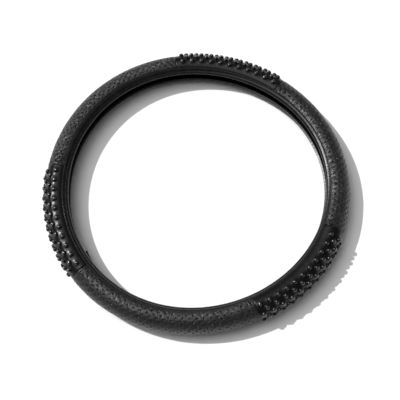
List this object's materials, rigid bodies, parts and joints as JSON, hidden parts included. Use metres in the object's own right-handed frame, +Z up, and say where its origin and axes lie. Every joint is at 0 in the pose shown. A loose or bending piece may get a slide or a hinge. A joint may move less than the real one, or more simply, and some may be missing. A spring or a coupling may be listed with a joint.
{
  "type": "steering wheel cover",
  "caption": "Slip-on steering wheel cover: a C-shaped rubber ring that grips the rim, wrapped in perforated leather skins alternating with nubbed grip skins.",
  "frame": {"origin": "on the surface the cover lies on, under the middle of its bounding box", "axes": "+Z up, out of the ring's plane; +Y towards the far side in the picture; +X to the right in it"},
  "size_m": [0.3862, 0.3794, 0.0389],
  "materials": {
    "rubber": "smooth, dull gloss",
    "perforated_leather": "fine grained, satin, with small punched holes",
    "nubbed_skin": "smooth, semi-gloss"
  },
  "bodies": {
    "root": {"rubber_ring": "rubber", "perforated_panel_1": "perforated_leather", "perforated_panel_2": "perforated_leather", "perforated_panel_3": "perforated_leather", "nub_panel_1": "nubbed_skin", "nub_panel_2": "nubbed_skin", "nub_panel_3": "nubbed_skin"}
  },
  "joints": []
}
